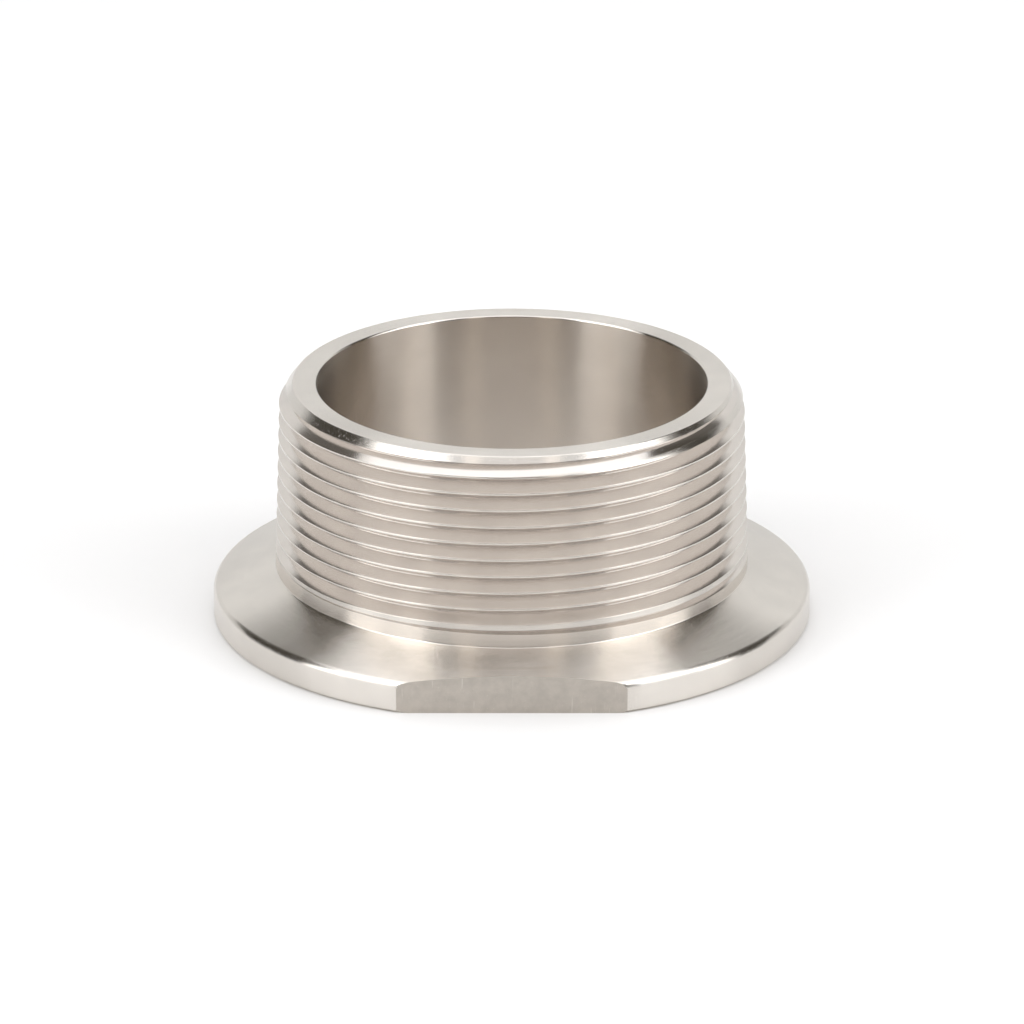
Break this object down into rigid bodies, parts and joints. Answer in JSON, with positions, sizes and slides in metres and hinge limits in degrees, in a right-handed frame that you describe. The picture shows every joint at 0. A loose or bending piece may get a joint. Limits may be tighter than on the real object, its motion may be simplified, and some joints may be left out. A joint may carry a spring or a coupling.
{
  "type": "threaded flange",
  "caption": "Round clamp flange with a conical back, a male taper pipe thread on a short neck, a straight through bore and one flat milled on the rim.",
  "frame": {"origin": "on the bore's axis, in the plane of the sealing face that the flange stands on", "axes": "+Z along the bore, up through the threaded end; the flat on the rim looks along -Y"},
  "size_m": [0.1124, 0.1083, 0.0457],
  "materials": {
    "turned_stainless": "bright turned stainless steel with fine lathe marks; the milled flat is duller"
  },
  "bodies": {
    "root": {"threaded_flange": "turned_stainless"}
  },
  "joints": []
}
